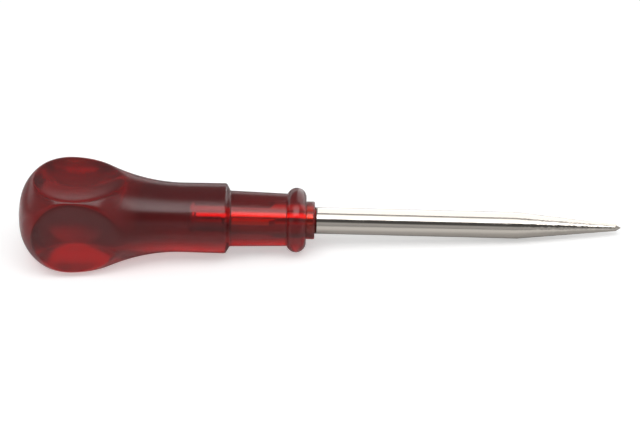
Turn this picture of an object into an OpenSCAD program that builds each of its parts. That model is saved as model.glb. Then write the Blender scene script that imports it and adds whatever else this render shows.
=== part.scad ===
// Bradawl with a clear red moulded handle and a round steel blade. Sizes are in millimetres.
// Each piece is drawn along the tool's own axis, with the butt of the handle at x = 0 and the
// point ahead of it. The tool is then laid down, as it rests on a bench: on the swell in front
// of its lower finger scoop and on its bead, with the point a little above the bench.

/* [Grip] */
// Length from the butt to the edge of the shoulder
grip_len = 58.6; // [54:0.1:66]
// Diameter of the bulb over the ridges between its scoops
bulb_d = 33.4; // [31:0.1:36]
// Radius of the nearly flat cap on the butt
butt_round = 27.7; // [24:0.1:34]
// How far off the axis the bulb's round back has its middle
back_up = 2.1; // [1:0.1:4]
// Diameter of the neck where it is thinnest
neck_d = 19.7; // [17:0.1:22]
// Distance from the butt to the place where the neck becomes straight
neck_at = 46.3; // [40:0.1:50]
// Share of the sweep from the bulb to the neck that is round, before it turns hollow
sweep_share = 0.35; // [0.2:0.01:0.5]
// Diameter of the neck at its front edge
neck_front_d = 19.9; // [18.6:0.1:22]

/* [Finger scoops] */
// Number of scoops round the bulb
scoops = 4; // [3:1:6]
// How far ahead of the bulb's widest place the scoops have their middle
scoop_ahead = 1.8; // [0:0.1:5]
// Radius of the ball that each scoop is cut with
scoop_round = 60; // [40:0.5:120]
// Width of the ridge that is left between two scoops
ridge_w = 1.2; // [0.4:0.1:3]

/* [Shoulder, sleeve and nose] */
// Length of the sloping front of the shoulder
shoulder_slope_len = 1.2; // [0.6:0.1:2.5]
// Radius of the shoulder's edge
shoulder_round = 0.8; // [0.2:0.1:1.2]
// Length of the sleeve from the foot of the shoulder to the middle of the bead
sleeve_len = 18.7; // [16:0.1:24]
// Diameter of the sleeve at the shoulder
sleeve_back_d = 15.8; // [14.6:0.1:17]
// Diameter of the sleeve at the bead
sleeve_front_d = 14.7; // [13.6:0.1:15.6]
// Diameter over the bead
bead_d = 18.3; // [17:0.1:20]
// Radius of the bead's round back
bead_round = 2.8; // [2.2:0.1:3.1]
// Length from the middle of the bead to the nose
collar_len = 5.2; // [4:0.1:9]
// Diameter of the collar in front of the bead
collar_d = 10.7; // [10:0.1:13]
// Radius of the collar's front edge
collar_round = 0.4; // [0.1:0.1:0.8]

/* [Blade] */
// Diameter of the round steel bar
shank_d = 7.5; // [7.3:0.1:8.4]
// Length of blade that stands out of the handle
exposed_len = 86.7; // [60:0.1:120]
// Length of the ground taper, without its sharp end
taper_len = 27.9; // [20:0.1:40]
// Diameter at the small end of the taper
taper_end_d = 1.9; // [1.2:0.1:3]
// Length of the sharp end
sharp_len = 1.5; // [0.8:0.1:4]

/* [Tang] */
// Length of blade that is held inside the handle
tang_len = 35; // [30:0.1:44]
// Diameter of the tang, drawn down a little so that the bar stops at the nose
tang_d = 7.1; // [5.8:0.1:7.1]
// Diameter of the tail, the thinner end of the tang behind its wings
tail_d = 5.2; // [4.2:0.1:5.6]
// Length of the tail, with the slope that leads up to the full tang
tail_len = 11.2; // [8:0.1:14]
// Chamfer on the hidden end of the tail
tang_chamfer = 0.5; // [0.1:0.1:1]
// Width over the two swaged wings
wing_span = 9.8; // [8.4:0.1:11]
// Thickness of a wing
wing_t = 1.4; // [0.8:0.1:2]
// Length of a wing at its tip
wing_len = 10.6; // [7:0.1:11]
// Length of the slope at each end of a wing
wing_slope_len = 1.6; // [0.8:0.1:3]
// Distance from the nose to the middle of the wings
wing_at = 18.2; // [14:0.1:21]
// Direction of the wings, in degrees round the axis from straight up
wing_turn = 68; // [0:1:180]
// How deep the swaging tool has pinched each side of the tang between the wings
pinch = 0.6; // [0.2:0.1:1]

/* [Fit] */
// Room round the tang and its wings, and between the bar and the nose
fit_gap = 0.02; // [0.01:0.01:0.1]
// Room left past the end of the tang
end_gap = 0.3; // [0.1:0.1:1]
// Room round the bar at the chamfered mouth of the hole
mouth_gap = 0.15; // [0.05:0.05:0.4]

/* [Hidden] */
$fn = 96;

// An arc of the outline gets one edge for each few degrees that it turns.
arc_step = 3;
// Cuts run past the surface that they open by this much.
overrun = 1;

// Radii of the named diameters.
bulb_r = bulb_d / 2;
neck_r = neck_d / 2;
neck_front_r = neck_front_d / 2;
sleeve_back_r = sleeve_back_d / 2;
sleeve_front_r = sleeve_front_d / 2;
collar_r = collar_d / 2;
shank_r = shank_d / 2;
tang_r = tang_d / 2;
tail_r = tail_d / 2;
taper_end_r = taper_end_d / 2;

// Places along the axis, counted from the butt.
sleeve_start = grip_len + shoulder_slope_len;
bead_at = sleeve_start + sleeve_len;
handle_len = bead_at + collar_len;
tang_end = handle_len - tang_len;
tail_front = tang_end + tail_len;
tail_slope = tang_r - tail_r;
shank_back = handle_len + fit_gap;
taper_end_at = handle_len + exposed_len - sharp_len;
tool_len = handle_len + exposed_len;

// The bulb's back is one arc that ends at the widest place, and runs into the butt's cap.
back_round = bulb_r - back_up;
bulb_at = butt_round - sqrt(pow(butt_round - back_round, 2) - pow(back_up, 2));
cap_turn = atan2(back_up, butt_round - bulb_at);
scoop_at = bulb_at + scoop_ahead;

// The sweep from the bulb to the neck is two arcs that run into each other, one round and one hollow.
sweep_along = neck_at - bulb_at;
sweep_drop = bulb_r - neck_r;
sweep_rounds = (pow(sweep_along, 2) + pow(sweep_drop, 2)) / (2 * sweep_drop);
front_round = sweep_rounds * sweep_share;
hollow_round = sweep_rounds - front_round;
sweep_turn = asin(sweep_along / sweep_rounds);

// The shoulder turns from the line of the neck into its sloping front.
shoulder_turn = atan2(neck_front_r - sleeve_back_r, shoulder_slope_len);
shoulder_back = shoulder_round * tan(shoulder_turn / 2);

// Points of an arc about a centre, from one angle to another, both ends included.
function arc(at, r, from, to) =
    let (steps = max(1, ceil(abs(to - from) / arc_step)))
    [for (i = [0 : steps]) let (a = from + (to - from) * i / steps) at + r * [cos(a), sin(a)]];

// The outline of the grip, from the butt to the neck: distance along the axis, radius.
grip_outline = concat(
    arc([butt_round, 0], butt_round, 180, 180 - cap_turn),
    arc([bulb_at, back_up], back_round, 180 - cap_turn, 90),
    arc([bulb_at, bulb_r - front_round], front_round, 90, 90 - sweep_turn),
    arc([neck_at, neck_r + hollow_round], hollow_round, 270 - sweep_turn, 270));

shoulder_outline = arc([grip_len - shoulder_back, neck_front_r - shoulder_round],
    shoulder_round, 90, 90 - shoulder_turn);

nose_outline = [
    [sleeve_start, sleeve_back_r],
    [bead_at, sleeve_front_r],
    [bead_at, collar_r]];

collar_outline = arc([handle_len - collar_round, collar_r - collar_round], collar_round, 90, 0);

// Each scoop's ball stands off the axis so far that the ridges keep their width.
scoop_half_turn = 180 / scoops - asin(ridge_w / bulb_d);
scoop_off = bulb_r * cos(scoop_half_turn)
    + sqrt(pow(scoop_round, 2) - pow(bulb_r * sin(scoop_half_turn), 2));

// The outline of the blade, from the chamfered end of its hidden tail to the point.
blade_outline = [
    [tang_end, 0],
    [tang_end, tail_r - tang_chamfer],
    [tang_end + tang_chamfer, tail_r],
    [tail_front - tail_slope, tail_r],
    [tail_front, tang_r],
    [shank_back, tang_r],
    [shank_back, shank_r],
    [taper_end_at - taper_len, shank_r],
    [taper_end_at, taper_end_r],
    [tool_len, 0]];

// The lip of a scoop, where its ball comes out through an edge of the outline that starts inside it.
function in_scoop(p) = norm(p - [scoop_at, scoop_off]) < scoop_round;
function lip(inside, outside) =
    let (
        edge = outside - inside,
        back = inside - [scoop_at, scoop_off],
        along = back * edge,
        share = (-along + sqrt(pow(along, 2) - edge * edge * (back * back - pow(scoop_round, 2)))) / (edge * edge))
    inside + edge * share;

// Lowest points of the grip behind the tool's balance, seen from the side: what the lower scoop
// leaves of the outline, the scoop's two lips, and the ridges beside it.
grip_low = concat(
    [for (p = grip_outline) if (!in_scoop(p)) [p.x, -p.y]],
    [for (i = [1 : len(grip_outline) - 1])
        let (p = grip_outline[i - 1], q = grip_outline[i])
        if (in_scoop(p) != in_scoop(q))
            let (l = in_scoop(p) ? lip(p, q) : lip(q, p)) [l.x, -l.y]],
    [for (p = grip_outline) [p.x, -p.y * cos(180 / scoops)]]);
// Lowest points of what is ahead of the balance.
front_low = [
    [bead_at, -bead_d / 2],
    [taper_end_at - taper_len, -shank_r],
    [taper_end_at, -taper_end_r],
    [tool_len, 0]];

// The tool lies on the line that touches both from below.
lie_slope = min([for (f = front_low) max([for (g = grip_low) (f.y - g.y) / (f.x - g.x)])]);
lie_turn = atan(lie_slope);
lie_lift = max([for (g = grip_low) g.x * sin(lie_turn) - g.y * cos(lie_turn)]);
// Its middle stands over the origin.
lie_back = butt_round * (cos(lie_turn) - 1);
lie_front = tool_len * cos(lie_turn);
lie_middle = (lie_back + lie_front) / 2;

// Lays the tool down, with its underside on z = 0 and its point towards +X.
module laid_down() {
    translate([-lie_middle, 0, lie_lift])
        rotate([0, lie_turn, 0])
            children();
}

// Turns an outline given as distance along the axis and radius about the tool's axis.
module turned(outline) {
    rotate([0, 90, 0])
        rotate_extrude()
            polygon([for (p = outline) [p.y, p.x]]);
}

// The bead is a ring with a round back.
module bead() {
    translate([bead_at, 0, 0])
        rotate([0, 90, 0])
            rotate_extrude()
                translate([bead_d / 2 - bead_round, 0])
                    circle(r = bead_round);
}

module handle_body() {
    turned(concat(grip_outline, shoulder_outline, nose_outline, collar_outline, [[handle_len, 0]]));
    bead();
}

module finger_scoops() {
    for (i = [0 : scoops - 1])
        rotate([180 + i * 360 / scoops, 0, 0])
            translate([scoop_at, 0, scoop_off])
                sphere(r = scoop_round);
}

// The outline of both wings together, with a slope at each end, grown by a gap.
module wing_plate(gap) {
    half_len = wing_len / 2;
    reach = wing_span / 2 + gap;
    foot = half_len + wing_slope_len + gap;
    linear_extrude(height = wing_t + 2 * gap, center = true)
        polygon([
            [-foot, -tang_r / 2], [-half_len - gap, -reach], [half_len + gap, -reach], [foot, -tang_r / 2],
            [foot, tang_r / 2], [half_len + gap, reach], [-half_len - gap, reach], [-foot, tang_r / 2]]);
}

// Stands the wings in their plane, on the axis.
module at_wings() {
    translate([handle_len - wing_at, 0, 0])
        rotate([wing_turn - 90, 0, 0])
            children();
}

// The flat that the swaging tool leaves on one side of the tang, with sloping ends.
module pinched_flat() {
    half_len = wing_len / 2;
    far = half_len + wing_slope_len * (1 + overrun / pinch);
    rotate([90, 0, 0])
        linear_extrude(height = tang_d + overrun, center = true)
            polygon([
                [-half_len, tang_r - pinch], [half_len, tang_r - pinch],
                [far, tang_r + overrun], [-far, tang_r + overrun]]);
}

// The hole for the tang and its tail, from the chamfered mouth in the nose inwards, with room
// for the wings.
module tang_hole() {
    hole_r = tang_r + fit_gap;
    mouth_depth = shank_r + mouth_gap - hole_r;
    turned([
        [tang_end - end_gap, 0],
        [tang_end - end_gap, tail_r + fit_gap],
        [tail_front - tail_slope, tail_r + fit_gap],
        [tail_front, hole_r],
        [handle_len - mouth_depth, hole_r],
        [handle_len + overrun, hole_r + mouth_depth + overrun],
        [handle_len + overrun, 0]]);
    at_wings() wing_plate(fit_gap);
}

// The clear plastic handle, moulded in one piece.
module handle() {
    color([0.62, 0.05, 0.06, 0.75])
        laid_down()
            difference() {
                handle_body();
                finger_scoops();
                tang_hole();
            }
}

// The steel blade, in one piece from the tang's end to the point.
module blade() {
    color("silver")
        laid_down()
            difference() {
                union() {
                    turned(blade_outline);
                    at_wings() wing_plate(0);
                }
                for (side = [0, 180])
                    at_wings() rotate([side, 0, 0]) pinched_flat();
            }
}

handle();
blade();
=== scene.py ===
import math

import bmesh
import bpy
import numpy as np
from bpy.props import FloatProperty, FloatVectorProperty, IntProperty, PointerProperty
from mathutils import Matrix, Vector


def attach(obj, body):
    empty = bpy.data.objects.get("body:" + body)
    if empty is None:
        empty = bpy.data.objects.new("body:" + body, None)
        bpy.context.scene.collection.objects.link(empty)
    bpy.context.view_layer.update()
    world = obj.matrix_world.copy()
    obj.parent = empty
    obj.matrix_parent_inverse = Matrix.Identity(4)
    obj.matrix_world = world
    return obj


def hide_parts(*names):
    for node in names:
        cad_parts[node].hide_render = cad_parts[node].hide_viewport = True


bl_info = {
    "name": "Bradawl with a clear red handle",
    "version": (1, 0, 0),
    "blender": (4, 5, 0),
    "location": "3D View > Sidebar > Bradawl",
    "description": "Makes the moulded handle, the ground steel blade and the studio they are seen in",
    "category": "Object",
}

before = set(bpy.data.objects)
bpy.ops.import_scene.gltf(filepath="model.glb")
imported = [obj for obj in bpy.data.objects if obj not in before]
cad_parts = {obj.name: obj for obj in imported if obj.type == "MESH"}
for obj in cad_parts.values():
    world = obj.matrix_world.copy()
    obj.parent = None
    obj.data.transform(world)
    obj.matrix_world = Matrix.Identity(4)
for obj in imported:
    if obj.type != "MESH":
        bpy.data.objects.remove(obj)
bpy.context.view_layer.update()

MM = 0.001
RIGHT_ANGLE = math.pi / 2

# how closely the meshes are sampled: from ring to ring, and points round each ring
HANDLE_STEP = 0.4 * MM
BLADE_STEP = 0.8 * MM
FINE_STEP = 0.16 * MM
TAPER_STEP = 0.25 * MM
SHARP_STEP = 0.08 * MM
HANDLE_AROUND = 288
BLADE_AROUND = 192

# the main view: its width in pixels, a pixel's size at the tool, and the camera's distance
PHOTO_WIDTH = 640
PIXEL = 0.283 * MM
VIEW_DISTANCE = 1.1
# how high the camera stands, as an angle round the tool's axis from the tool's own level
VIEW_RISE = math.radians(34.4)
# how steeply the tool slopes down to the right in the view
VIEW_SLOPE = math.radians(1.4)
# the view's middle: how far along from the butt, and how far over the tool's axis
AIM_ALONG = 85.2 * MM
AIM_OVER = 0.3 * MM

# the floor's half width, and how far it lies under the tool, so that the two don't touch
FLOOR_HALF = 3.0
FLOOR_DROP = 0.1 * MM


def length(name, text, default_mm, precision=2):
    """A length property, stated in millimetres."""
    return FloatProperty(
        name=name,
        description=text,
        default=default_mm * MM,
        unit="LENGTH",
        min=0.0,
        precision=precision,
    )


def colour(name, text, default):
    return FloatVectorProperty(
        name=name, description=text, default=default, size=3, min=0.0, max=1.0, subtype="COLOR"
    )


class BradawlPlacement(bpy.types.PropertyGroup):
    """How the tool lies on the bench, the same as in the frame."""

    turn: FloatProperty(
        name="Turn",
        description="How far the tool's axis dips towards its point",
        default=math.radians(4.11602),
        subtype="ANGLE",
    )
    lift: length("Lift", "Height of the butt's middle over the bench", 14.7608)
    middle: length("Middle", "Distance along the tool from the butt to the frame's origin", 84.9445)


class BradawlHandle(bpy.types.PropertyGroup):
    """Sizes of the moulded handle."""

    grip_len: length("Grip length", "From the butt to the edge of the shoulder", 58.6)
    bulb_d: length("Bulb", "Diameter of the bulb over its ridges", 33.4)
    butt_round: length("Butt cap", "Radius of the nearly flat cap on the butt", 27.7)
    back_up: length("Back's middle", "How far off the axis the bulb's round back has its middle", 2.1)
    neck_d: length("Neck", "Diameter of the neck where it is thinnest", 19.7)
    neck_at: length("Neck starts", "From the butt to where the neck becomes straight", 46.3)
    neck_front_d: length("Neck's front", "Diameter of the neck at its front edge", 19.9)
    sweep_share: FloatProperty(
        name="Round share",
        description="Share of the sweep from bulb to neck that is round",
        default=0.35,
        min=0.2,
        max=0.5,
        subtype="FACTOR",
    )
    scoops: IntProperty(name="Scoops", description="Number of finger scoops", default=4, min=3, max=6)
    scoop_ahead: length("Scoops ahead", "From the bulb's widest place to the middle of the scoops", 1.8)
    scoop_round: length("Scoop radius", "Radius of the ball that each scoop is cut with", 60.0)
    ridge_w: length("Ridge", "Width of the ridge between two scoops", 1.2)
    soften: length("Soft edges", "How far polishing has rounded the scoops' edges", 0.5)
    shoulder_slope_len: length("Shoulder slope", "Length of the shoulder's sloping front", 1.2)
    shoulder_round: length("Shoulder edge", "Radius of the shoulder's edge", 0.8)
    sleeve_len: length("Sleeve", "From the foot of the shoulder to the middle of the bead", 18.7)
    sleeve_back_d: length("Sleeve's back", "Diameter of the sleeve at the shoulder", 15.8)
    sleeve_front_d: length("Sleeve's front", "Diameter of the sleeve at the bead", 14.7)
    bead_d: length("Bead", "Diameter over the bead", 18.3)
    bead_round: length("Bead's round", "Radius of the bead's round back", 2.8)
    collar_len: length("Collar length", "From the middle of the bead to the nose", 5.2)
    collar_d: length("Collar", "Diameter of the collar", 10.7)
    collar_round: length("Collar edge", "Radius of the collar's front edge", 0.4)


class BradawlBlade(bpy.types.PropertyGroup):
    """Sizes of the steel blade and of the hole that holds its tang."""

    shank_d: length("Shank", "Diameter of the round bar", 7.5)
    exposed_len: length("Exposed length", "Length of blade that stands out of the handle", 86.7)
    taper_len: length("Taper", "Length of the ground taper", 27.9)
    taper_end_d: length("Taper's end", "Diameter at the small end of the taper", 1.9)
    sharp_len: length("Sharp end", "Length of the sharp end", 1.5)
    tang_len: length("Tang length", "Length of blade that the handle hides", 35.0)
    tang_d: length("Tang", "Diameter of the tang", 7.1)
    tail_d: length("Tail", "Diameter of the tang's thinner end behind its wings", 5.2)
    tail_len: length("Tail length", "Length of the tail, with its slope up to the full tang", 11.2)
    tang_chamfer: length("Tail chamfer", "Chamfer on the hidden end of the tail", 0.5)
    wing_span: length("Wing span", "Width over the two swaged wings", 9.8)
    wing_t: length("Wing thickness", "Thickness of a wing", 1.4)
    wing_len: length("Wing length", "Length of a wing at its tip", 10.6)
    wing_slope_len: length("Wing slope", "Length of the slope at each end of a wing", 1.6)
    wing_at: length("Wings' place", "From the nose to the middle of the wings", 18.2)
    wing_turn: FloatProperty(
        name="Wings' turn",
        description="Direction of the wings round the axis, from straight up",
        default=math.radians(68),
        subtype="ANGLE",
    )
    pinch: length("Pinch", "How deep the tang is pinched between the wings", 0.6)
    fit_gap: length("Fit gap", "Room between the bar and the nose", 0.02)
    contact: length("Contact", "How far the plastic wets into the tang's surface", 0.005, precision=3)
    end_gap: length("End gap", "Room past the end of the tang", 0.3)
    mouth_gap: length("Mouth gap", "Room round the bar at the chamfered mouth", 0.15)
    facet: length("Grinding facets", "Depth of the facets that grinding left on the taper", 0.05)


class BradawlLook(bpy.types.PropertyGroup):
    """Colours and finishes."""

    red: colour("Red", "Colour that the clear plastic lets through", (0.98, 0.77, 0.1))
    body: colour("Body", "Colour of the faint haze in the plastic", (0.8, 0.12, 0.13))
    depth: FloatProperty(
        name="Depth of red",
        description="How strongly the plastic absorbs, per metre",
        default=1500.0,
        min=0.0,
    )
    steel: colour("Steel", "Colour of the steel", (0.6, 0.555, 0.5))


def handle_length(h):
    return h.grip_len + h.shoulder_slope_len + h.sleeve_len + h.collar_len


def wings_stretch(h, b):
    """The back and the front end of the stretch of tang that the wings and their slopes lie in."""
    middle = handle_length(h) - b.wing_at
    return middle - b.wing_len, middle + b.wing_len


def laid_down(p):
    """Matrix that lays the tool down, from its own axis to the frame."""
    return Matrix.Translation((-p.middle, 0, p.lift)) @ Matrix.Rotation(p.turn, 4, "Y")


def arc(centre, radius, start, end, step):
    """Points of an arc, about one for each step of length."""
    count = max(2, math.ceil(abs(end - start) * radius / step))
    turn = np.linspace(start, end, count + 1)
    return np.stack([centre[0] + radius * np.cos(turn), centre[1] + radius * np.sin(turn)], axis=1)


def line(start, end, step):
    count = max(1, math.ceil(math.dist(start, end) / step))
    return np.linspace(start, end, count + 1)


def joined(*runs):
    """One chain of points from several runs, without the doubled ones where they meet."""
    chain = [runs[0]]
    for run in runs[1:]:
        meets = math.dist(run[0], chain[-1][-1]) < 1e-7
        chain.append(run[1:] if meets else run)
    return np.concatenate(chain)


def grip_outline(h, step):
    """The outline from the butt's middle to the start of the neck, and the bulb's widest place.

    A point of an outline is its place along the axis and its radius.
    """
    bulb_r, neck_r = h.bulb_d / 2, h.neck_d / 2
    back_round = bulb_r - h.back_up
    bulb_at = h.butt_round - math.sqrt((h.butt_round - back_round) ** 2 - h.back_up**2)
    cap_turn = math.atan2(h.back_up, h.butt_round - bulb_at)
    along, drop = h.neck_at - bulb_at, bulb_r - neck_r
    rounds = (along**2 + drop**2) / (2 * drop)
    front = rounds * h.sweep_share
    hollow = rounds - front
    turn = math.asin(along / rounds)
    outwards, backwards, inwards = RIGHT_ANGLE, 2 * RIGHT_ANGLE, 3 * RIGHT_ANGLE
    grip = joined(
        arc((h.butt_round, 0), h.butt_round, backwards, backwards - cap_turn, step),
        arc((bulb_at, h.back_up), back_round, backwards - cap_turn, outwards, step),
        arc((bulb_at, bulb_r - front), front, outwards, outwards - turn, step),
        arc((h.neck_at, neck_r + hollow), hollow, inwards - turn, inwards, step),
    )
    return grip, bulb_at


def front_outline(h, step, fine):
    """The outline from the shoulder's rounded edge to the start of the nose's flat ring."""
    front_r, back_r, sleeve_r = h.neck_front_d / 2, h.sleeve_back_d / 2, h.sleeve_front_d / 2
    slope = math.atan2(front_r - back_r, h.shoulder_slope_len)
    edge = (h.grip_len - h.shoulder_round * math.tan(slope / 2), front_r - h.shoulder_round)
    shoulder = arc(edge, h.shoulder_round, RIGHT_ANGLE, RIGHT_ANGLE - slope, fine)
    sleeve_start = h.grip_len + h.shoulder_slope_len
    bead_at = sleeve_start + h.sleeve_len
    bead_mid = h.bead_d / 2 - h.bead_round
    taper = (sleeve_r - back_r) / h.sleeve_len

    # the bead's back meets the sleeve a little short of the bead's middle, found in rounds
    foot = -h.bead_round
    for _ in range(20):
        rise = back_r + taper * (h.sleeve_len + foot) - bead_mid
        foot = -math.sqrt(h.bead_round**2 - rise**2)
    start = math.pi - math.asin(rise / h.bead_round)
    collar_r = h.collar_d / 2
    end = math.asin((collar_r - bead_mid) / h.bead_round)
    collar_back = bead_at + h.bead_round * math.cos(end)
    collar_front = handle_length(h) - h.collar_round
    return joined(
        shoulder,
        line(shoulder[-1], (sleeve_start, back_r), fine),
        line((sleeve_start, back_r), (bead_at + foot, rise + bead_mid), step),
        arc((bead_at, bead_mid), h.bead_round, start, end, fine),
        line((collar_back, collar_r), (collar_front, collar_r), step),
        arc((collar_front, collar_r - h.collar_round), h.collar_round, RIGHT_ANGLE, 0, fine),
    )


def scoop_reach(h, bulb_at, along, turn):
    """Distance from the axis to the nearest scoop's ball at each place, or infinity."""
    bulb_r = h.bulb_d / 2
    half_turn = math.pi / h.scoops - math.asin(h.ridge_w / h.bulb_d)
    sunk = math.sqrt(h.scoop_round**2 - (bulb_r * math.sin(half_turn)) ** 2)
    off = bulb_r * math.cos(half_turn) + sunk
    spacing = 2 * math.pi / h.scoops
    from_scoop = (turn + spacing / 2) % spacing - spacing / 2
    past_middle = along - bulb_at - h.scoop_ahead
    inside = h.scoop_round**2 - past_middle**2 - (off * np.sin(from_scoop)) ** 2
    reach = off * np.cos(from_scoop) - np.sqrt(np.maximum(inside, 0))
    return np.where((inside > 0) & (reach > 0), reach, np.inf)


def softly_lower(a, b, soft):
    """The lower of two surfaces, with the edge where they cross rounded inwards."""
    return np.minimum(a, b) - soft * np.exp(-np.abs(b - a) / soft) / 2


def tang_reach(h, b, along, turn, gap):
    """Radius of the tang, grown by a gap, at each place and direction.

    It has the thinner tail, the wings and the flats that are pinched between them.
    """
    nose = handle_length(h)
    tang_r, tail_r = b.tang_d / 2 + gap, b.tail_d / 2 + gap
    tail_front = nose - b.tang_len + b.tail_len
    body_r = np.clip(tang_r - (tail_front - along), tail_r, tang_r)
    past_wing = np.abs(along - (nose - b.wing_at)) - b.wing_len / 2
    # directions are counted from straight up, and the wings point both ways from the axis
    across = np.maximum(np.abs(np.sin(turn - b.wing_turn)), 1e-6)
    lengthways = np.maximum(np.abs(np.cos(turn - b.wing_turn)), 1e-6)
    flat = tang_r - b.pinch + np.maximum(past_wing, 0) * b.pinch / b.wing_slope_len
    pinched = np.minimum(body_r, flat / across)
    slope = (b.wing_span / 2 - b.tang_d / 2) / b.wing_slope_len
    tip = b.wing_span / 2 + gap - np.maximum(past_wing - gap, 0) * slope
    wing = np.minimum((b.wing_t / 2 + gap) / across, tip / lengthways)
    return np.maximum(pinched, np.where(tip > body_r, wing, 0))


def directions(around):
    """Directions round the axis, counted from straight up towards -Y."""
    return np.arange(around) * 2 * math.pi / around


def on_rings(values, around):
    """One ring of equal values for each value."""
    return np.repeat(values[:, None], around, axis=1)


def mesh_object(name, points, faces, material, smooth=True):
    mesh = bpy.data.meshes.new(name)
    mesh.from_pydata([tuple(p) for p in points], [], faces)
    mesh.validate()
    if smooth:
        mesh.shade_smooth()
    obj = bpy.data.objects.new(name, mesh)
    bpy.context.scene.collection.objects.link(obj)
    mesh.materials.append(material)
    return obj


def skin_of_rings(name, along, radius, ends, material):
    """A closed skin of rings round the tool's axis, laid down on the bench.

    along and radius have a row for each ring and a column for each direction. ends are the
    places along the axis of the two middle points that close the skin.
    """
    rings, around = along.shape
    turn = directions(around)
    points = np.stack([along, -radius * np.sin(turn), radius * np.cos(turn)], axis=2)
    points = [tuple(p) for p in points.reshape(-1, 3)] + [(end, 0.0, 0.0) for end in ends]
    first, last = rings * around, rings * around + 1
    faces = []
    for i in range(rings - 1):
        for j in range(around):
            a, b = i * around + j, i * around + (j + 1) % around
            faces.append((a, b, b + around, a + around))
    last_ring = (rings - 1) * around
    for j in range(around):
        k = (j + 1) % around
        faces.append((first, k, j))
        faces.append((last, last_ring + j, last_ring + k))
    matrix = laid_down(bpy.context.scene.bradawl_placement)
    skin = mesh_object(name, [matrix @ Vector(p) for p in points], faces, material)

    bm = bmesh.new()
    bm.from_mesh(skin.data)
    bmesh.ops.recalc_face_normals(bm, faces=bm.faces)
    bm.to_mesh(skin.data)
    bm.free()
    return skin


def new_material(name):
    material = bpy.data.materials.new(name)
    material.use_nodes = True
    return material, material.node_tree, material.node_tree.nodes["Principled BSDF"]


def glowing_material(name):
    """A material that only gives off light, with its emission shader."""
    material, tree, shader = new_material(name)
    tree.nodes.remove(shader)
    glow = tree.nodes.new("ShaderNodeEmission")
    tree.links.new(glow.outputs["Emission"], tree.nodes["Material Output"].inputs["Surface"])
    return material, tree, glow


def calculate(tree, operation, *values):
    node = tree.nodes.new("ShaderNodeMath")
    node.operation = operation
    for socket, value in zip(node.inputs, values):
        tree.links.new(value, socket)
    return node.outputs["Value"]


def vector_value(tree, operation, vector, other):
    """The number that an operation on an output and a fixed vector gives."""
    node = tree.nodes.new("ShaderNodeVectorMath")
    node.operation = operation
    node.inputs[1].default_value = other
    tree.links.new(vector, node.inputs[0])
    return node.outputs["Value"]


def smooth_step(tree, value, low, high, to_low=0.0, to_high=1.0):
    """Goes softly from to_low at low to to_high at high; low may be the larger of the two."""
    node = tree.nodes.new("ShaderNodeMapRange")
    node.interpolation_type = "SMOOTHSTEP"
    if low > high:
        low, high, to_low, to_high = high, low, to_high, to_low
    node.inputs["From Min"].default_value = low
    node.inputs["From Max"].default_value = high
    node.inputs["To Min"].default_value = to_low
    node.inputs["To Max"].default_value = to_high
    tree.links.new(value, node.inputs["Value"])
    return node.outputs["Result"]


def mix(tree, share, a, b):
    """a where the share is 0, b where it is 1; each is a number or another node's output."""
    node = tree.nodes.new("ShaderNodeMix")
    for socket, value in zip((0, 2, 3), (share, a, b)):
        if isinstance(value, (int, float)):
            node.inputs[socket].default_value = value
        else:
            tree.links.new(value, node.inputs[socket])
    return node.outputs[0]


def wear_group():
    """Fine scratches and rubbed patches, put out as a mask and a height."""
    group = bpy.data.node_groups.get("Wear")
    if group:
        return group
    group = bpy.data.node_groups.new("Wear", "ShaderNodeTree")
    nodes, links = group.nodes, group.links
    defaults = {"Patch scale": 120.0, "Scratch scale": 900.0, "Stretch": 0.05, "Amount": 0.5}
    for name, default in defaults.items():
        socket = group.interface.new_socket(name=name, in_out="INPUT", socket_type="NodeSocketFloat")
        socket.default_value = default
    for name in ("Mask", "Height"):
        group.interface.new_socket(name=name, in_out="OUTPUT", socket_type="NodeSocketFloat")
    inside, outside = nodes.new("NodeGroupInput"), nodes.new("NodeGroupOutput")
    place = nodes.new("ShaderNodeTexCoord")

    patches = nodes.new("ShaderNodeTexNoise")
    patches.inputs["Detail"].default_value = 4
    links.new(place.outputs["Object"], patches.inputs["Vector"])
    links.new(inside.outputs["Patch scale"], patches.inputs["Scale"])
    spread = nodes.new("ShaderNodeMapRange")
    unworn, rubbed = 0.42, 0.68
    spread.inputs["From Min"].default_value = unworn
    spread.inputs["From Max"].default_value = rubbed
    links.new(patches.outputs["Fac"], spread.inputs["Value"])

    # the scratches run along the tool, so their noise is stretched that way
    squeeze = nodes.new("ShaderNodeCombineXYZ")
    squeeze.inputs["Y"].default_value = 1
    squeeze.inputs["Z"].default_value = 1
    links.new(inside.outputs["Stretch"], squeeze.inputs["X"])
    stretched = nodes.new("ShaderNodeVectorMath")
    stretched.operation = "MULTIPLY"
    links.new(place.outputs["Object"], stretched.inputs[0])
    links.new(squeeze.outputs["Vector"], stretched.inputs[1])
    scratches = nodes.new("ShaderNodeTexNoise")
    scratches.inputs["Detail"].default_value = 3
    links.new(stretched.outputs["Vector"], scratches.inputs["Vector"])
    links.new(inside.outputs["Scratch scale"], scratches.inputs["Scale"])

    worn = calculate(group, "MULTIPLY", spread.outputs["Result"], scratches.outputs["Fac"])
    scaled = calculate(group, "MULTIPLY", worn, inside.outputs["Amount"])
    links.new(scaled, outside.inputs["Mask"])
    links.new(scratches.outputs["Fac"], outside.inputs["Height"])
    return group


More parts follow.
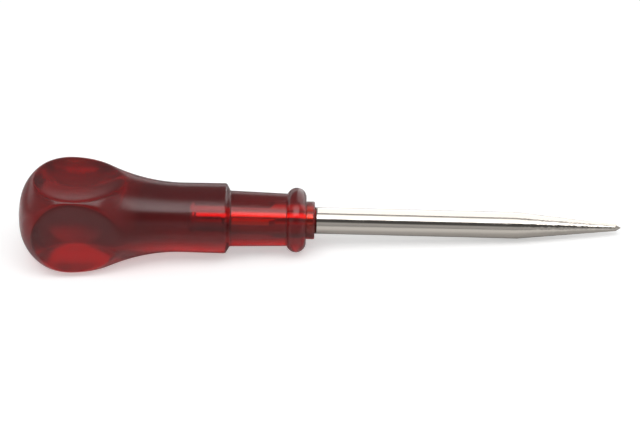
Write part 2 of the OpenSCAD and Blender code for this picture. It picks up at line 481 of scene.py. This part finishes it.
def add_wear(tree, shader, patch, scratch, stretch, roughness, bump_strength, bump_height):
    """Lets the wear group change a shader's roughness, over a range, and its normal."""
    marks = tree.nodes.new("ShaderNodeGroup")
    marks.node_tree = wear_group()
    marks.inputs["Patch scale"].default_value = patch
    marks.inputs["Scratch scale"].default_value = scratch
    marks.inputs["Stretch"].default_value = stretch
    marks.inputs["Amount"].default_value = 1.0
    spread = tree.nodes.new("ShaderNodeMapRange")
    spread.inputs["To Min"].default_value, spread.inputs["To Max"].default_value = roughness
    tree.links.new(marks.outputs["Mask"], spread.inputs["Value"])
    tree.links.new(spread.outputs["Result"], shader.inputs["Roughness"])
    bump = tree.nodes.new("ShaderNodeBump")
    bump.inputs["Strength"].default_value = bump_strength
    bump.inputs["Distance"].default_value = bump_height
    tree.links.new(marks.outputs["Height"], bump.inputs["Height"])
    tree.links.new(bump.outputs["Normal"], shader.inputs["Normal"])


def clear_red_plastic(look):
    """Polished clear plastic that deepens to red where it is thick."""
    material, tree, shader = new_material("clear_red_acetate")
    shader.inputs["Base Color"].default_value = (*look.body, 1)
    shader.inputs["IOR"].default_value = 1.47
    shader.inputs["Transmission Weight"].default_value = 0.95
    add_wear(
        tree,
        shader,
        patch=90,
        scratch=1500,
        stretch=0.12,
        roughness=(0.18, 0.28),
        bump_strength=0.05,
        bump_height=0.05 * MM,
    )
    absorb = tree.nodes.new("ShaderNodeVolumeAbsorption")
    absorb.inputs["Color"].default_value = (*look.red, 1)
    absorb.inputs["Density"].default_value = look.depth
    tree.links.new(absorb.outputs["Volume"], tree.nodes["Material Output"].inputs["Volume"])
    return material


def ground_steel(look):
    """Smooth bar steel with fine grinding marks along it."""
    material, tree, shader = new_material("ground_steel")
    shader.inputs["Base Color"].default_value = (*look.steel, 1)
    shader.inputs["Metallic"].default_value = 1
    add_wear(
        tree,
        shader,
        patch=160,
        scratch=2600,
        stretch=0.04,
        roughness=(0.1, 0.26),
        bump_strength=0.12,
        bump_height=0.04 * MM,
    )
    return material


class BRADAWL_OT_handle(bpy.types.Operator):
    """Makes the clear red handle and puts it in the place of the plain one"""

    bl_idname = "bradawl.handle"
    bl_label = "Handle"

    def execute(self, context):
        scene = context.scene
        h, b = scene.bradawl_handle, scene.bradawl_blade
        nose = handle_length(h)
        mouth_r = b.shank_d / 2 + b.mouth_gap
        hole_end = nose - b.tang_len - b.end_gap
        grip, bulb_at = grip_outline(h, HANDLE_STEP)
        # the neck's line ends just short of the shoulder's rounded edge
        neck_end = h.grip_len - 0.5 * MM
        flat_r = h.collar_d / 2 - h.collar_round
        outline = joined(
            grip,
            line((h.neck_at, h.neck_d / 2), (neck_end, h.neck_front_d / 2), HANDLE_STEP),
            front_outline(h, HANDLE_STEP, FINE_STEP),
            line((nose, flat_r), (nose, mouth_r), HANDLE_STEP),
        )
        turn = directions(HANDLE_AROUND)
        outer = on_rings(outline[1:, 0], HANDLE_AROUND)
        outer_r = on_rings(outline[1:, 1], HANDLE_AROUND)
        scooped = softly_lower(outer_r, scoop_reach(h, bulb_at, outer, turn), h.soften)
        outer_r = np.where(outer < h.neck_at, scooped, outer_r)

        # the hole, from its mouth inwards
        mouth_depth = mouth_r - (b.tang_d / 2 - b.contact)
        wings_back, wings_front = wings_stretch(h, b)
        hole = joined(
            line((nose - mouth_depth, 0), (wings_front, 0), HANDLE_STEP),
            line((wings_front, 0), (wings_back, 0), FINE_STEP),
            line((wings_back, 0), (hole_end, 0), HANDLE_STEP),
        )
        inner = on_rings(hole[:, 0], HANDLE_AROUND)
        inner_r = tang_reach(h, b, inner, turn, -b.contact)

        handle = skin_of_rings(
            "clear_handle",
            np.concatenate([outer, inner]),
            np.concatenate([outer_r, inner_r]),
            (0.0, hole_end),
            clear_red_plastic(scene.bradawl_look),
        )
        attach(handle, "root")
        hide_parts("handle")
        return {"FINISHED"}


class BRADAWL_OT_blade(bpy.types.Operator):
    """Makes the steel blade, from its winged tang to its hand-ground point"""

    bl_idname = "bradawl.blade"
    bl_label = "Blade"

    def execute(self, context):
        scene = context.scene
        h, b = scene.bradawl_handle, scene.bradawl_blade
        nose = handle_length(h)
        tang_end = nose - b.tang_len
        tail_edge = tang_end + b.tang_chamfer
        wings_back, wings_front = wings_stretch(h, b)
        shank_back = nose + b.fit_gap
        tip_at = nose + b.exposed_len
        taper_end = tip_at - b.sharp_len
        taper_start = taper_end - b.taper_len
        shank_r, tang_r, tail_r, end_r = b.shank_d / 2, b.tang_d / 2, b.tail_d / 2, b.taper_end_d / 2
        # the first and the last ring, close to the middle points that close the skin
        first_r = 0.3 * MM
        last_at, last_r = tip_at - 0.05 * MM, end_r * 0.05
        outline = joined(
            line((tang_end, first_r), (tang_end, tail_r - b.tang_chamfer), BLADE_STEP),
            line((tang_end, tail_r - b.tang_chamfer), (tail_edge, tail_r), BLADE_STEP),
            line((tail_edge, tang_r), (wings_back, tang_r), BLADE_STEP),
            line((wings_back, tang_r), (wings_front, tang_r), FINE_STEP),
            line((wings_front, tang_r), (shank_back, tang_r), BLADE_STEP),
            line((shank_back, tang_r), (shank_back, shank_r), FINE_STEP),
            line((shank_back, shank_r), (taper_start, shank_r), BLADE_STEP),
            line((taper_start, shank_r), (taper_end, end_r), TAPER_STEP),
            line((taper_end, end_r), (last_at, last_r), SHARP_STEP),
        )
        turn = directions(BLADE_AROUND)
        along = on_rings(outline[:, 0], BLADE_AROUND)
        radius = on_rings(outline[:, 1], BLADE_AROUND)
        in_tang = (along > tail_edge) & (along < shank_back - 1e-6)
        radius = np.where(in_tang, tang_reach(h, b, along, turn, 0), radius)

        # shallow facets of hand grinding, deepest in the middle of the taper
        share = np.clip((along - taper_start) / (taper_end - taper_start), 0, 1)
        ground = np.sin(math.pi * share) ** 0.5
        # they waver to and fro along it in two waves, each with its swing and its length
        zigzag = 0
        for swing, wave_length in ((2.2, 2.3 * MM), (0.9, 3.7 * MM)):
            zigzag = zigzag + swing * np.sin(along * 2 * math.pi / wave_length)
        facet_pairs = 4
        facets = np.abs(np.sin(turn * facet_pairs + zigzag))
        radius = radius - b.facet * ground * (1 - facets)

        steel = ground_steel(scene.bradawl_look)
        blade = skin_of_rings("steel_blade", along, radius, (tang_end, tip_at), steel)
        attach(blade, "root")
        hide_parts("blade")
        return {"FINISHED"}


def view_axes(placement):
    """The frame's directions to the right, up and towards the camera, square to the tool."""
    along = Vector((math.cos(placement.turn), 0, -math.sin(placement.turn)))
    over = Vector((math.sin(placement.turn), 0, math.cos(placement.turn)))
    towards = math.sin(VIEW_RISE) * over + math.cos(VIEW_RISE) * Vector((0, -1, 0))
    up = math.cos(VIEW_RISE) * over + math.sin(VIEW_RISE) * Vector((0, 1, 0))
    right = math.cos(VIEW_SLOPE) * along + math.sin(VIEW_SLOPE) * up
    above = math.cos(VIEW_SLOPE) * up - math.sin(VIEW_SLOPE) * along
    return right, above, towards


class BRADAWL_OT_studio(bpy.types.Operator):
    """Makes the camera, the pale floor, the room round it and the glowing cards"""

    bl_idname = "bradawl.studio"
    bl_label = "Studio"

    def execute(self, context):
        scene = context.scene
        right, above, towards = view_axes(scene.bradawl_placement)
        self.camera(scene, right, above, towards)
        self.floor()
        self.room(scene, above, towards)
        self.softbox()
        self.mirror_card()
        scene.view_settings.view_transform = "Standard"
        return {"FINISHED"}

    def camera(self, scene, right, above, towards):
        aim = laid_down(scene.bradawl_placement) @ Vector((AIM_ALONG, 0, 0)) + above * AIM_OVER
        data = bpy.data.cameras.new("camera")
        data.sensor_width = 36
        data.lens = data.sensor_width * VIEW_DISTANCE / (PHOTO_WIDTH * PIXEL)
        data.clip_start, data.clip_end = 0.05, 20
        camera = bpy.data.objects.new("camera", data)
        turned = Matrix((right, above, towards)).transposed().to_4x4()
        camera.matrix_world = Matrix.Translation(aim + towards * VIEW_DISTANCE) @ turned
        scene.collection.objects.link(camera)
        scene.camera = camera

    def card(self, name, corners, material):
        """A flat quadrilateral of the stage."""
        card = mesh_object(name, corners, [(0, 1, 2, 3)], material, smooth=False)
        return card

    def softbox(self):
        """A glowing card over the bench, even in front and fading towards the back."""
        material, tree, glow = glowing_material("softbox_cloth")
        place = tree.nodes.new("ShaderNodeTexCoord")
        parts = tree.nodes.new("ShaderNodeSeparateXYZ")
        tree.links.new(place.outputs["Generated"], parts.inputs["Vector"])
        # from the card's front, 0, to its back, 1
        full_until, faded_at = 0.3, 0.88
        weak, strong = 0.3, 3.3
        level = smooth_step(tree, parts.outputs["Y"], faded_at, full_until, weak, strong)
        tree.links.new(level, glow.inputs["Strength"])

        # square to the line from the origin, which rises steeply towards the front
        distance, rise = 0.6, math.radians(78)
        half_width = math.tan(math.radians(34)) * distance
        half_depth = math.tan(math.radians(27)) * distance
        middle = Vector((0, -math.cos(rise), math.sin(rise))) * distance
        side = Vector((1, 0, 0)) * half_width
        rear = Vector((0, math.sin(rise), math.cos(rise))) * half_depth
        signs = ((-1, -1), (-1, 1), (1, 1), (1, -1))
        corners = [middle + side * a + rear * b for a, b in signs]
        card = self.card("softbox", corners, material)
        card.visible_camera = False

    def mirror_card(self):
        """A white card that leans over the blade from behind, and only its steel mirrors it."""
        material, _, glow = glowing_material("white_card")
        glow.inputs["Strength"].default_value = 1.9
        left, right = 0.0, 140 * MM
        top, foot = (15 * MM, 80 * MM), (80 * MM, 0.0)
        corners = [(left, *top), (right, *top), (right, *foot), (left, *foot)]
        card = self.card("white_card", corners, material)
        card.visible_camera = False
        card.visible_diffuse = False
        card.visible_transmission = False
        card.visible_shadow = False

    def floor(self):
        """A white floor, which shows darker in the steel and through the clear plastic, with painted
        shade and painted light round the tool in both.
        """
        material, tree, shader = new_material("pale_floor")
        shader.inputs["Roughness"].default_value = 1
        shader.inputs["Specular IOR Level"].default_value = 0
        ray = tree.nodes.new("ShaderNodeLightPath").outputs
        place = tree.nodes.new("ShaderNodeNewGeometry")
        parts = tree.nodes.new("ShaderNodeSeparateXYZ")
        tree.links.new(place.outputs["Position"], parts.inputs["Vector"])
        off = calculate(tree, "ABSOLUTE", parts.outputs["Y"])
        white, lift_to_white, bounced = 0.75, 0.42, 0.4

        # mirrored in the steel: painted shade under the tool, a painted lit band at its sides, and
        # darker far off
        under, painted_light_tone, beyond = 0.55, 0.88, 0.43
        painted_shade_edge, painted_light_edge = (4 * MM, 14 * MM), (22 * MM, 50 * MM)
        painted_shade_and_light = smooth_step(tree, off, *painted_shade_edge, under, painted_light_tone)
        past = smooth_step(tree, off, *painted_light_edge)
        mirrored = mix(tree, past, painted_shade_and_light, beyond)

        # through the plastic: painted shade of the tool on the floor, lighter from the sleeve forwards,
        # and a painted pool of light under the bulb for the light that it gathers
        painted_shade_tone, painted_shade_at_nose, far, painted_pool_tone = 0.12, 0.26, 0.25, 1.0
        neck_edge, far_edge = (-30 * MM, -22 * MM), (30 * MM, 120 * MM)
        ahead = smooth_step(tree, parts.outputs["X"], *neck_edge, painted_shade_tone, painted_shade_at_nose)
        away = smooth_step(tree, off, *far_edge)
        # a painted pool of light on the floor, round a place under the bulb
        painted_pool_middle, painted_pool_edge = (-76 * MM, 5 * MM, 0), (24 * MM, 7 * MM)
        from_bulb = vector_value(tree, "DISTANCE", place.outputs["Position"], painted_pool_middle)
        painted_pool_mask = smooth_step(tree, from_bulb, *painted_pool_edge)
        through = mix(tree, painted_pool_mask, mix(tree, away, ahead, far), painted_pool_tone)

        tone = mix(tree, ray["Is Glossy Ray"], bounced, mirrored)
        tone = mix(tree, ray["Is Transmission Ray"], tone, through)
        tone = mix(tree, ray["Is Camera Ray"], tone, white)
        grey = tree.nodes.new("ShaderNodeCombineColor")
        for name in ("Red", "Green", "Blue"):
            tree.links.new(tone, grey.inputs[name])
        tree.links.new(grey.outputs["Color"], shader.inputs["Base Color"])
        shader.inputs["Emission Color"].default_value = (1, 1, 1, 1)
        lifted = mix(tree, ray["Is Camera Ray"], 0.0, lift_to_white)
        tree.links.new(lifted, shader.inputs["Emission Strength"])
        signs = ((-1, -1), (1, -1), (1, 1), (-1, 1))
        corners = [(FLOOR_HALF * a, FLOOR_HALF * b, -FLOOR_DROP) for a, b in signs]
        self.card("floor", corners, material)

    def room(self, scene, above, towards):
        """The world: a white backdrop behind the bench, and a dimmer room in front of it."""
        world = bpy.data.worlds.new("room")
        scene.world = world
        world.use_nodes = True
        tree = world.node_tree
        back = tree.nodes["Background"]
        back.inputs["Color"].default_value = (1, 1, 1, 1)
        direction = tree.nodes.new("ShaderNodeTexCoord").outputs["Generated"]
        parts = tree.nodes.new("ShaderNodeSeparateXYZ")
        tree.links.new(direction, parts.inputs["Vector"])
        ray = tree.nodes.new("ShaderNodeLightPath").outputs
        front, rear, dark, horizon, white = 0.5, 0.3, 0.09, 0.3, 1.0
        # edges below are parts of a direction of length 1, such as 0 level and 1 straight up
        behind = smooth_step(tree, parts.outputs["Y"], 0.0, 0.4)

        # the dark camera and its stand, at the place that the main view is taken from
        facing = vector_value(tree, "DOT_PRODUCT", direction, towards)
        level = vector_value(tree, "DOT_PRODUCT", direction, above)
        off_level = calculate(tree, "ABSOLUTE", level)
        band_edge = (math.sin(math.radians(20)), math.sin(math.radians(9)))
        side_edge = (math.cos(math.radians(40)), math.cos(math.radians(25)))
        band = smooth_step(tree, off_level, *band_edge)
        side = smooth_step(tree, facing, *side_edge)
        stand = calculate(tree, "MULTIPLY", band, side)
        in_front = mix(tree, stand, front, dark)

        # mirrored in the steel: a white sweep low behind the bench
        low = smooth_step(tree, parts.outputs["Z"], 0.45, 0.2)
        sweep = calculate(tree, "MULTIPLY", low, behind)
        mirrored = mix(tree, sweep, mix(tree, behind, in_front, rear), white)

        # through the plastic: the backdrop, which brightens from the horizon up
        below_zenith = smooth_step(tree, parts.outputs["Z"], 0.97, 0.85)
        backdrop = smooth_step(tree, parts.outputs["Z"], 0.0, 0.5, horizon, white)
        share = calculate(tree, "MULTIPLY", below_zenith, behind)
        through = mix(tree, share, in_front, backdrop)

        strength = mix(tree, ray["Is Glossy Ray"], front, mirrored)
        strength = mix(tree, ray["Is Transmission Ray"], strength, through)
        strength = mix(tree, ray["Is Camera Ray"], strength, white)
        tree.links.new(strength, back.inputs["Strength"])


class BRADAWL_PT_panel(bpy.types.Panel):
    """Lists the pieces and their sizes"""

    bl_idname = "BRADAWL_PT_panel"
    bl_label = "Bradawl"
    bl_space_type = "VIEW_3D"
    bl_region_type = "UI"
    bl_category = "Bradawl"

    def draw(self, context):
        scene = context.scene
        for operator, groups in (
            ("bradawl.studio", (scene.bradawl_placement,)),
            ("bradawl.handle", (scene.bradawl_handle, scene.bradawl_look)),
            ("bradawl.blade", (scene.bradawl_blade,)),
        ):
            box = self.layout.box()
            box.operator(operator)
            for group in groups:
                for name in group.__annotations__:
                    box.prop(group, name)


CLASSES = (
    BradawlPlacement,
    BradawlHandle,
    BradawlBlade,
    BradawlLook,
    BRADAWL_OT_studio,
    BRADAWL_OT_handle,
    BRADAWL_OT_blade,
    BRADAWL_PT_panel,
)
GROUPS = {
    "bradawl_placement": BradawlPlacement,
    "bradawl_handle": BradawlHandle,
    "bradawl_blade": BradawlBlade,
    "bradawl_look": BradawlLook,
}


def register():
    for item in CLASSES:
        bpy.utils.register_class(item)
    for name, group in GROUPS.items():
        setattr(bpy.types.Scene, name, PointerProperty(type=group))


def unregister():
    for name in GROUPS:
        delattr(bpy.types.Scene, name)
    for item in reversed(CLASSES):
        bpy.utils.unregister_class(item)


def main():
    register()
    bpy.ops.bradawl.studio()
    bpy.ops.bradawl.handle()
    bpy.ops.bradawl.blade()


if __name__ == "__main__":
    main()
